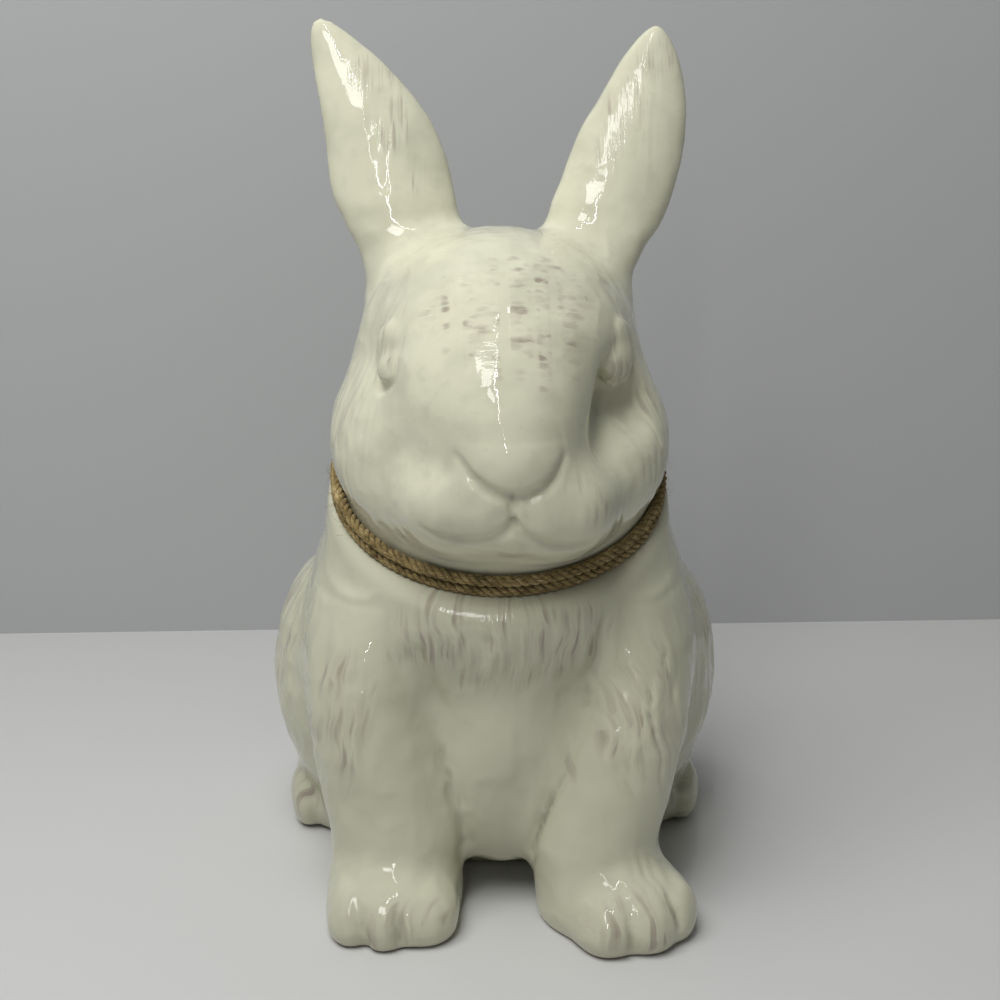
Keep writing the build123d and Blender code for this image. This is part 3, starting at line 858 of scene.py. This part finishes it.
# places where the strokes lie across the brow, and places where the brown was rubbed on
browSpots = [((3, -52, 240), (38, 50, 36), 1), ((0, 34, 258), (46, 34, 24), 1)]
brushed = {
    "body": [
        ((-12, -68, 118), (42, 30, 26), 1), ((-63, -48, 84), (18, 34, 34), 0.85),
        ((52, -58, 84), (20, 30, 36), 0.85), ((26, -62, 118), (24, 24, 18), 0.85),
        ((-92, 22, 98), (12, 34, 34), 0.55), ((92, 22, 98), (12, 34, 34), 0.5),
        ((-44, -90, 12), (30, 18, 13), 0.6), ((49, -96, 14), (28, 18, 14), 0.65),
        ((-76, 22, 16), (20, 22, 20), 0.55), ((76, 22, 16), (20, 22, 20), 0.55),
        ((0, 92, 84), (44, 20, 44), 0.6), ((0, 96, 44), (18, 14, 18), 0.7),
        ((30, -64, 64), (10, 20, 22), 0.3), ((-28, -60, 58), (10, 20, 24), 0.3),
    ],
    "brow": [
        ((3, -50, 243), (40, 42, 27), 1), ((14, -66, 224), (22, 18, 16), 0.6),
        ((0, 34, 256), (40, 30, 20), 0.6),
    ],
    "head": [
        ((-39, -41, 236), (9, 16, 20), 0.95), ((-34, -47, 222), (8, 12, 12), 0.8),
        ((44, -37, 234), (10, 16, 24), 0.95), ((46, -44, 213), (10, 14, 15), 0.7),
        ((-60, -26, 196), (12, 26, 28), 0.4), ((60, -22, 194), (12, 26, 28), 0.45),
        ((-20, -80, 177), (22, 12, 13), 0.35), ((27, -78, 176), (20, 14, 15), 0.5),
        ((-50, 30, 330), (11, 22, 12), 0.75), ((-41, 24, 310), (9, 22, 14), 0.75),
        ((-33, 18, 290), (8, 22, 12), 0.5), ((66, 32, 336), (11, 22, 12), 0.75),
        ((55, 26, 318), (10, 22, 14), 0.8), ((46, 20, 300), (9, 22, 14), 0.6),
        ((0, 48, 232), (40, 24, 16), 0.6), ((-62, 24, 200), (14, 26, 30), 0.35),
        ((62, 24, 200), (14, 26, 30), 0.35),
    ],
}
earsFrom = 262  # above this height the points belong to the ears
browFrom = 0.25  # the share of brow from which the strokes lie across it


def combing(points, region):
    # stroke lengthwise, stroke crosswise and how far the point lies from the brow
    x, y, z = points.T
    if region == "head":
        brow = near(points, browSpots)
        turn = np.where(z > earsFrom, x * 1.2, np.arctan2(x, -(y - 10)) * 55)
        along = np.where(brow > browFrom, x, z)
        return along, np.where(brow > browFrom, z + 0.55 * y, turn), brow
    turn = np.arctan2(x, -(y - 18)) * 70
    turn = turn + 2.5 * rolling(points, 22, 5) + 1.1 * rolling(points, 8, 12)
    return z + 0.35 * np.abs(x), turn, np.zeros(len(points))


def grain(u, v, w, seed):
    return rolling(np.stack([u, v, w], 1), 1, seed)


def modelled(points, region):
    # how high the surface stands, the flow of its strokes and how much brown is rubbed on it
    x, y, z = points.T
    onHead = region == "head"
    along, across, brow = combing(points, region)
    layer = np.full(len(points), 3.0 if onHead else 40.0)
    # both fade to nothing where the strokes turn
    onBrow, offBrow = np.clip(3 * brow - 0.75, 0, 1), np.clip(1 - 4 * brow, 0, 1)
    calm = 1.0
    if onHead:
        face = np.maximum(near(points, relief["face"]), 0.85 * np.clip((z - earsFrom) / 16, 0, 1))
        calm = 1 - (1 - relief["faceCalm"]) * face
        combed = near(points, relief["earsAndCheeks"]) * offBrow
    else:
        combed = near(points, relief["combed"])
    large, small = relief["lumpSizes"]
    lumps = rolling(points, large, 1) * 0.7 + rolling(points, small, 2) * 0.3
    dabs = np.abs(rolling(points, relief["dabSize"], 3)) ** 0.8
    strands = grain(across / relief["tuft"][0], along / relief["tuft"][1], layer, 4)
    fine = grain(across / relief["fine"][0], along / relief["fine"][1], layer, 6)
    grooves = np.clip(np.abs(strands) * 1.7 - 0.25, -0.3, 1) + 0.35 * fine
    height = relief["lumps"] * calm * lumps - relief["dabs"] * calm * (dabs - 0.4)
    height = height + relief["tufts"] * combed * (grooves - 0.3)
    rubbed = near(points, brushed[region])
    if onHead:
        columns = np.clip(grain(x / 7, z / 40, y / 60, 8) * 2 + 0.4, 0, 1)
        nicks = np.clip(grain(x / 6, across / relief["fine"][0], layer, 9) * 2 - 0.3, 0, 1)
        height = height - relief["dashes"] * (near(points, relief["dashed"]) * onBrow) * columns * nicks
        columns = np.clip(grain(x / 3.6, z / 60, y / 60, 23) * 1.6 + 0.75, 0.15, 1)
        rubbed = np.maximum(rubbed * offBrow, near(points, brushed["brow"]) * onBrow * columns)
    rubbed = np.clip(rubbed * (0.85 + 0.3 * rolling(points, 9, 11)), 0, 1)
    long, wide = np.where(brow > browFrom, 4.4, 10.0), np.where(brow > browFrom, 2.0, 1.15)
    return height, np.stack([along / long, across / wide, layer], 1), rubbed


finish = {
    "skinRounds": 2, "skinShare": 0.5,  # how the skin is smoothed before the relief
    "thin": {"head": 0.05, "body": 0.62},  # how grey each casting's glaze is made: painted shade that leaves the body much greyer than the head
    "mottleSwing": 0.22, "mottlePatch": 30, "hollowRounds": 10, "hollowShare": 0.6,
    "bareTo": 1.4, "bareFade": 0.8,  # the foot is wiped clean up to here
    "reliefFrom": 1.0, "ropeBand": 7.0, "fade": 6.0,  # no relief on the foot and under the rope
    "bareHole": {"radius": 30, "height": 42},
}


def casting(name, clay, region):
    points, quads = clay.skin()
    points = clay.settle(smoothed(points, quads, finish["skinRounds"], finish["skinShare"]))
    normals = normalsOf(points, quads)
    height, flow, rubbed = modelled(points, region)
    onFoot = np.clip((points[:, 2] - finish["reliefFrom"]) / finish["fade"], 0, 1)
    atNeck = np.abs(points[:, 1] * neckUp.y + (points[:, 2] - neck["z"]) * neckUp.z)
    away = np.clip((atNeck - finish["ropeBand"]) / finish["fade"], 0, 1)
    points = points + normals * (height * onFoot * away)[:, None]
    points[:, 2] = np.maximum(points[:, 2], 0)
    # painted shade: the glaze is darker in hollows and creases, by how far each point sits below its smoothed
    # neighbours
    spread = smoothed(points, quads, finish["hollowRounds"], finish["hollowShare"])
    hollowShade = ((spread - points) * normals).sum(1)
    bare = np.clip((finish["bareTo"] - points[:, 2]) / finish["bareFade"], 0, 1)
    # painted shade: the body's glaze is greyed far more than the head's, for the shade it sits in; the swing
    # adds random grey patches
    thin = finish["thin"][region] + finish["mottleSwing"] * rolling(points, finish["mottlePatch"], 14)
    if region == "body":
        inHole = np.hypot(points[:, 0], points[:, 1] - drain["y"]) < finish["bareHole"]["radius"]
        bare = np.maximum(bare, inHole & (points[:, 2] < finish["bareHole"]["height"]))
    mesh = bpy.data.meshes.new(name)
    mesh.from_pydata((points * mm).tolist(), [], quads.tolist())
    mesh.polygons.foreach_set("use_smooth", [True] * len(quads))
    # two of these carry painted shade: the darkening in hollows and the greying of the body
    for label, values in (("rubbed", rubbed), ("hollowShade", hollowShade), ("bare", bare), ("thin", thin)):
        made = mesh.attributes.new(label, "FLOAT", "POINT")
        made.data.foreach_set("value", np.asarray(values, np.float32))
    made = mesh.attributes.new("flow", "FLOAT_VECTOR", "POINT")
    made.data.foreach_set("vector", flow.astype(np.float32).ravel())
    mesh.update()
    print(name, len(points), "points", len(quads) * 2, "triangles")
    return linkTo(name, mesh)


voxels = {"head": 1.15, "body": 1.5}
headClay = Clay((-86, -104, 128), (86, 76, 356), voxels["head"])
shapeHead(headClay)
joinAtNeck(headClay, -1)
headPiece = casting("headCasting", headClay, "head")
bodyClay = Clay((-106, -110, -4), (106, 110, 214), voxels["body"])
shapeBody(bodyClay)
joinAtNeck(bodyClay, 1)
underFloor = (-bodyClay.axes[2][None, None, :]).astype(np.float32)
bodyClay.field = softMax(bodyClay.field, underFloor, 3)
bodyPiece = casting("bodyCasting", bodyClay, "body")
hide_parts("head", "left_ear", "right_ear")
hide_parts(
    "torso", "left_foreleg", "right_foreleg", "left_hind_foot", "right_hind_foot", "tail"
)


# Materials
def attribute(tree, name, kind="Fac"):
    return node(tree, "ShaderNodeAttribute", attribute_name=name).outputs[kind]


def noiseAt(tree, vector, scale, detail=2.0, roughness=0.5):
    values = {"Vector": vector, "Scale": scale, "Detail": detail, "Roughness": roughness}
    return node(tree, "ShaderNodeTexNoise", values)


def stretched(tree, flow, scales):
    return vectorCalc(tree, "MULTIPLY", flow, scales)


def ramp(tree, value, low, high, start=0.0, end=1.0):
    values = {0: value, 1: low, 2: high, 3: start, 4: end}
    return node(tree, "ShaderNodeMapRange", values, interpolation_type="SMOOTHSTEP")


def mixed(tree, share, first, second):
    # for colours the node has its own sockets
    return node(tree, "ShaderNodeMix", {0: share, 6: first, 7: second}, data_type="RGBA").outputs[2]


def relieved(tree, height, depth):
    # small relief by the light alone; the visible shapes are all in the mesh
    values = {"Height": height, "Strength": 1.0, "Distance": depth}
    return node(tree, "ShaderNodeBump", values)


def useNodes(material):
    material.use_nodes = True
    return material.node_tree, material.node_tree.nodes["Principled BSDF"]


def brushGroup():
    # broken strokes of colour that follow the flow of the fur
    g, given = newGroup("dryBrush", "ShaderNodeTree", {"Mask": "Float"}, {
        "Flow": "Vector", "Amount": "Float", "Cover": "Float",
    })
    flow = given["Flow"]
    bristles = noiseAt(g, stretched(g, flow, (1.6, 3.1, 1.0)), 1.0, 1.5)
    patches = noiseAt(g, stretched(g, flow, (0.5, 0.16, 1.0)), 1.0, 1.0)
    cells = node(g, "ShaderNodeTexVoronoi", {"Vector": flow, "Scale": 0.62, "Randomness": 0.85})
    ragged = times(g, calc(g, "SUBTRACT", bristles, 0.5), 0.55)
    dash = ramp(g, plus(g, cells.outputs["Distance"], ragged), 0.28, 0.70, 1.0, 0.0)
    apart = node(g, "ShaderNodeSeparateColor", {0: cells.outputs["Color"]})
    dash = times(g, dash, ramp(g, apart, 0.15, 0.8, 0.15, 1.0))
    here = plus(g, times(g, patches, 0.5), times(g, given["Amount"], given["Cover"]))
    return closeGroup(g, times(g, dash, ramp(g, here, 0.34, 0.68)))


def creamGroup():
    # cream glaze, greyer in its clouds, with painted shade that makes it greyer on the body and darker in
    # hollows and creases
    g, given = newGroup("creamGlaze", "ShaderNodeTree", {"Color": "Color"}, {
        "Place": "Vector", "HollowShade": "Float", "ShadeAndMottle": "Float",
        "Light": "Color", "CloudAndShade": "Color", "PaintedShade": "Color",
    })
    clouds = ramp(g, noiseAt(g, given["Place"], 38.0, 3.0, 0.55), 0.40, 0.72, 0.0, 0.55)
    small = ramp(g, noiseAt(g, given["Place"], 150.0, 2.0, 0.6), 0.45, 0.8, 0.0, 0.35)
    share = calc(g, "MAXIMUM", calc(g, "MAXIMUM", clouds, small), given["ShadeAndMottle"])
    base = mixed(g, share, given["Light"], given["CloudAndShade"])
    return closeGroup(g, mixed(g, ramp(g, given["HollowShade"], 0.28, 1.15), base, given["PaintedShade"]))


# the last colour is painted shade for hollows and creases; the grey middle one serves the random clouds and
# the painted shade on the body
creamLook = {
    "Light": (0.70, 0.69, 0.525, 1), "CloudAndShade": (0.50, 0.495, 0.375, 1), "PaintedShade": (0.31, 0.30, 0.22, 1),
}
glazeLook = {
    "brown": (0.235, 0.185, 0.150, 1), "plum": (0.31, 0.25, 0.215, 1),
    "cover": 0.62, "strength": 0.78, "gloss": 0.03, "smear": 0.05, "brushGloss": 0.10,
    "ior": 1.52, "ripple": 0.001,
    "clay": (0.72, 0.66, 0.55, 1), "grog": 0.86, "clayRoughness": 0.8,
}


def glazeMaterial():
    made = bpy.data.materials.new("glaze")
    tree, shader = useNodes(made)
    place = node(tree, "ShaderNodeTexCoord").outputs["Object"]
    flow, bare, rubbed = attribute(tree, "flow", "Vector"), attribute(tree, "bare"), attribute(tree, "rubbed")
    # the cream carries painted shade: greyer on the body and darker in hollows and creases
    cream = node(tree, "ShaderNodeGroup", {
        "Place": place, "HollowShade": attribute(tree, "hollowShade"), "ShadeAndMottle": attribute(tree, "thin"), **creamLook,
    }, node_tree=creamGroup())
    brush = node(tree, "ShaderNodeGroup", {
        "Flow": flow, "Amount": rubbed, "Cover": glazeLook["cover"],
    }, node_tree=brushGroup())
    hue = mixed(tree, noiseAt(tree, place, 60.0, 1.0), glazeLook["brown"], glazeLook["plum"])
    worn = ramp(tree, noiseAt(tree, stretched(tree, flow, (0.5, 0.35, 1.0)), 1.0, 2.0), 0.32, 0.68, 0.2, 1.0)
    shown = times(tree, times(tree, brush, worn), glazeLook["strength"])
    painted = mixed(tree, shown, cream, hue)
    grog = ramp(tree, noiseAt(tree, place, 900.0, 1.0), 0.35, 0.7)
    darker = tuple(glazeLook["grog"] * v for v in glazeLook["clay"][:3]) + (1,)
    clay = mixed(tree, grog, glazeLook["clay"], darker)
    dullest = glazeLook["gloss"] + glazeLook["smear"]
    smear = ramp(tree, noiseAt(tree, place, 90.0, 2.0), 0.4, 0.75, glazeLook["gloss"], dullest)
    rough = plus(tree, times(tree, shown, glazeLook["brushGloss"]), smear)
    ripple, swell = noiseAt(tree, place, 210.0, 1.5), noiseAt(tree, place, 75.0, 1.0)
    strokes = noiseAt(tree, stretched(tree, flow, (0.8, 0.9, 1.0)), 1.0, 2.0)
    height = plus(tree, times(tree, ripple, 0.10), times(tree, swell, 0.45))
    height = plus(tree, height, times(tree, times(tree, strokes, rubbed), 0.22))
    feed(tree, shader, {
        "Base Color": mixed(tree, bare, painted, clay),
        "Roughness": ramp(tree, bare, 0.0, 1.0, rough, glazeLook["clayRoughness"]),
        "IOR": glazeLook["ior"], "Normal": relieved(tree, height, glazeLook["ripple"]),
    })
    return made


juteLook = {
    "dark": (0.062, 0.043, 0.016, 1), "middle": (0.36, 0.262, 0.105, 1), "straw": (0.80, 0.65, 0.35, 1),
    "relief": 0.0005,
}
juteSheen = {"Roughness": 0.86, "Sheen Weight": 0.1, "Specular IOR Level": 0.25}


def dressJute():
    tree, shader = useNodes(jute)
    place = node(tree, "ShaderNodeTexCoord").outputs["Object"]
    # streaks run along each strand, and no two strands have the same
    spot = joinXYZ(
        tree, times(tree, attribute(tree, "along"), 420), times(tree, attribute(tree, "around"), 9),
        times(tree, attribute(tree, "strand"), 5.7),
    )
    streaks, flecks = noiseAt(tree, spot, 1.0, 3.0, 0.65), noiseAt(tree, place, 2100.0, 2.0, 0.7)
    wear = calc(tree, "SUBTRACT", noiseAt(tree, place, 130.0), 0.5)
    share = plus(tree, times(tree, streaks, 0.55), times(tree, flecks, 0.45))
    share = plus(tree, share, times(tree, wear, 0.35))
    lower = mixed(tree, ramp(tree, share, 0.32, 0.52), juteLook["dark"], juteLook["middle"])
    feed(tree, shader, {
        "Base Color": mixed(tree, ramp(tree, share, 0.50, 0.70), lower, juteLook["straw"]),
        "Normal": relieved(tree, plus(tree, streaks, flecks), juteLook["relief"]), **juteSheen,
    })


dressJute()
glaze = glazeMaterial()
for piece in (headPiece, bodyPiece):
    piece.data.materials.append(glaze)
    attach(piece, "root")
print("glazed")

# Stage
stage = {
    "wall": {"Base Color": (0.46, 0.47, 0.47, 1), "Roughness": 0.6}, "wallY": 0.295, "reach": 3,
    "table": {"Base Color": (0.62, 0.62, 0.61, 1), "Roughness": 0.5},
    "room": {"Color": (0.86, 0.87, 0.86, 1), "Strength": 0.10},
}
lamps = {
    # place, target, size, watts, and whether the glaze mirrors it
    "stripLamp": ((-0.22, -1.27, 1.75), (0, 0, 0.2), (0.030, 2.4), 5.6, True),
    "panelLamp": ((-0.52, -1.32, 1.72), (0, 0, 0.2), (0.38, 0.60), 5.2, True),
    "softLamp": ((-0.31, -0.32, 1.05), (-0.03, 0, 0.2), (0.7, 0.7), 8.0, False),
}


def sheetOf(name, corners):
    mesh = bpy.data.meshes.new(name)
    mesh.from_pydata(corners, [], [(0, 1, 2, 3)])
    material = bpy.data.materials.new(name)
    feed(*useNodes(material), stage[name])
    mesh.materials.append(material)
    linkTo(name, mesh)
    return material


def clearFromBehind(material):
    # the wall is seen through from the back, so that it doesn't hide the figure there
    tree = material.node_tree
    share = node(tree, "ShaderNodeMixShader", {
        0: node(tree, "ShaderNodeNewGeometry").outputs["Backfacing"],
        1: tree.nodes["Principled BSDF"], 2: node(tree, "ShaderNodeBsdfTransparent"),
    })
    feed(tree, tree.nodes["Material Output"], {0: share})


far = stage["reach"]
floorCorners = [(-far, -far, 0), (far, -far, 0), (far, far, 0), (-far, far, 0)]
wallCorners = [(x, stage["wallY"], z) for x, z in ((-far, 0), (far, 0), (far, far), (-far, far))]
sheetOf("table", floorCorners)
clearFromBehind(sheetOf("wall", wallCorners))
for name, (place, target, size, watts, mirrored) in lamps.items():
    data = bpy.data.lights.new(name, "AREA")
    data.shape = "RECTANGLE"
    data.size, data.size_y = size
    data.energy = watts
    made = linkTo(name, data)
    made.location = place
    made.rotation_euler = (Vector(target) - Vector(place)).to_track_quat("-Z", "Y").to_euler()
    made.visible_glossy = mirrored
world = bpy.data.worlds.new("room")
scene.world = world
world.use_nodes = True
feed(world.node_tree, world.node_tree.nodes["Background"], stage["room"])
print("stage and lamps set")
